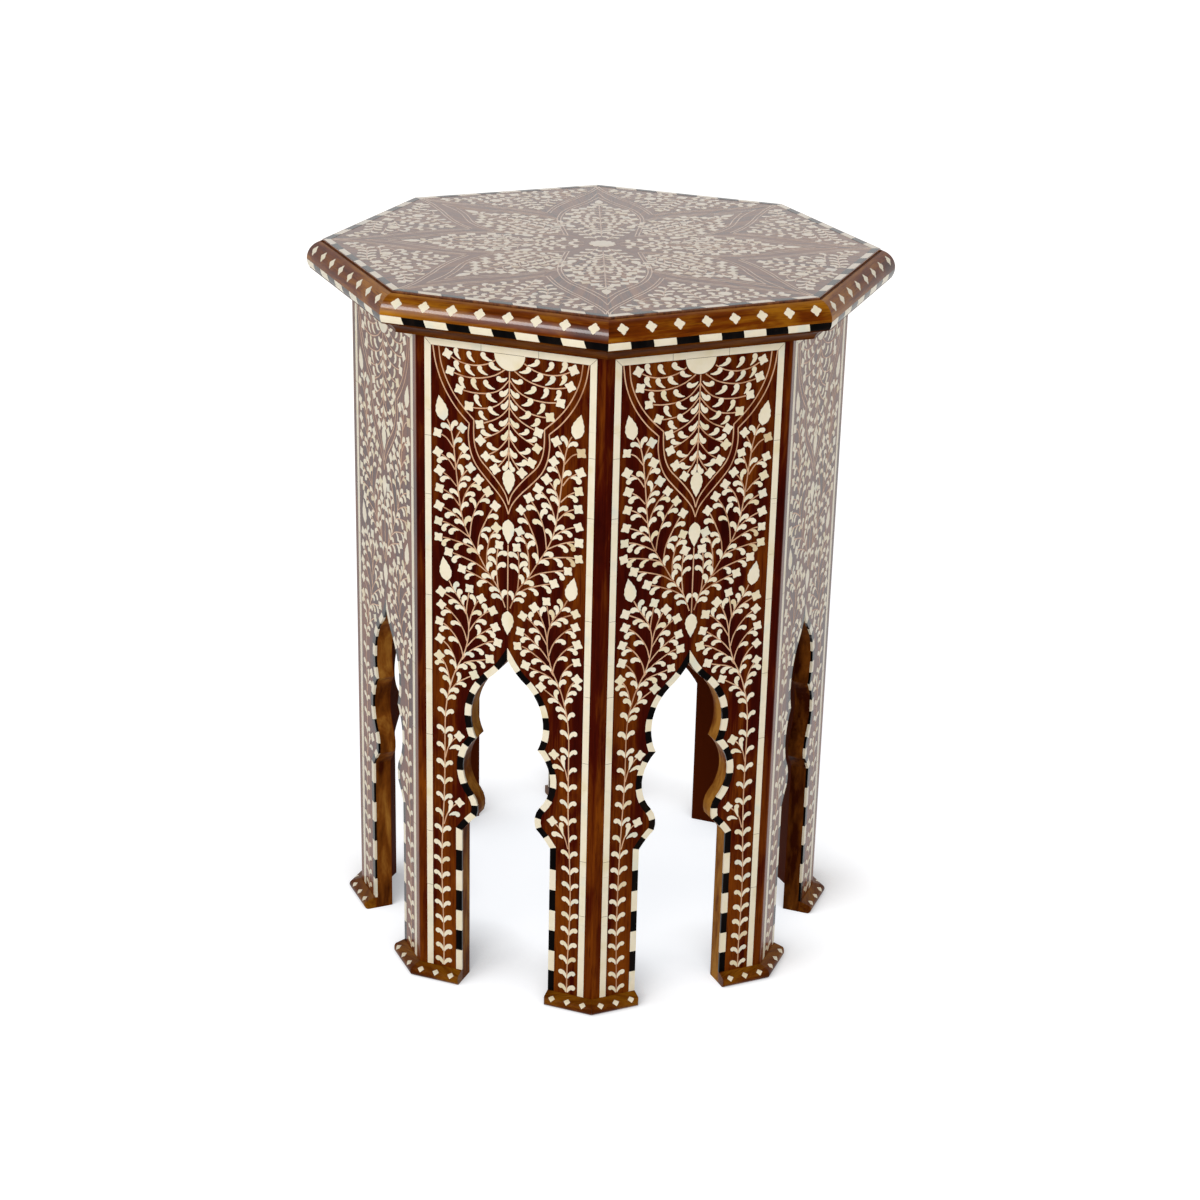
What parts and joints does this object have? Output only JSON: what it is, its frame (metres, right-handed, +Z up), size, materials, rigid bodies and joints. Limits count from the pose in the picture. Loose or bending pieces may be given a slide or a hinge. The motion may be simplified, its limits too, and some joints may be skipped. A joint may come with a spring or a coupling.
{
  "type": "octagonal side table",
  "caption": "Eight-sided wooden side table on an arcaded base, with bone and ebony inlay over its top, panels and mouldings.",
  "frame": {"origin": "on the floor, under the middle of the top", "axes": "+Z up; +X, +Y, -X and -Y each look straight out of a side panel, and the other four panels look out between them"},
  "size_m": [0.454, 0.454, 0.61],
  "materials": {
    "top_wood": "polished dark hardwood under clear gloss lacquer",
    "panel_wood": "polished dark red-brown hardwood under clear gloss lacquer",
    "moulding_wood": "polished amber-brown hardwood under clear gloss lacquer",
    "inner_wood": "planed hardwood, thin oil",
    "bone": "polished bone under clear lacquer",
    "ebony": "polished black wood under clear lacquer",
    "steel": "plain wood screw"
  },
  "bodies": {
    "root": {"top_board": "top_wood", "top_border_bone": "bone", "top_border_ebony": "ebony", "top_flowers": "bone", "top_buds": "bone", "edge_moulding_1": "moulding_wood", "edge_moulding_2": "moulding_wood", "edge_moulding_3": "moulding_wood", "edge_moulding_4": "moulding_wood", "edge_moulding_5": "moulding_wood", "edge_moulding_6": "moulding_wood", "edge_moulding_7": "moulding_wood", "edge_moulding_8": "moulding_wood", "edge_band_bone": "bone", "edge_band_ebony": "ebony", "edge_quatrefoils": "bone", "cove_frame_1": "moulding_wood", "cove_frame_2": "moulding_wood", "cove_frame_3": "moulding_wood", "cove_frame_4": "moulding_wood", "cove_frame_5": "moulding_wood", "cove_frame_6": "moulding_wood", "cove_frame_7": "moulding_wood", "cove_frame_8": "moulding_wood", "side_panel_1": "panel_wood", "side_panel_2": "panel_wood", "side_panel_3": "panel_wood", "side_panel_4": "panel_wood", "side_panel_5": "panel_wood", "side_panel_6": "panel_wood", "side_panel_7": "panel_wood", "side_panel_8": "panel_wood", "panel_strips": "bone", "arch_band_bone": "bone", "arch_band_ebony": "ebony", "panel_half_discs": "bone", "panel_buds": "bone", "foot_moulding_1": "moulding_wood", "foot_moulding_2": "moulding_wood", "foot_moulding_3": "moulding_wood", "foot_moulding_4": "moulding_wood", "foot_moulding_5": "moulding_wood", "foot_moulding_6": "moulding_wood", "foot_moulding_7": "moulding_wood", "foot_moulding_8": "moulding_wood", "foot_diamonds": "bone", "top_batten_1": "inner_wood", "top_batten_2": "inner_wood", "top_batten_3": "inner_wood", "top_batten_4": "inner_wood", "top_batten_5": "inner_wood", "top_batten_6": "inner_wood", "top_batten_7": "inner_wood", "top_batten_8": "inner_wood", "corner_blocks": "inner_wood", "top_screws": "steel", "batten_screws": "steel"}
  },
  "joints": []
}
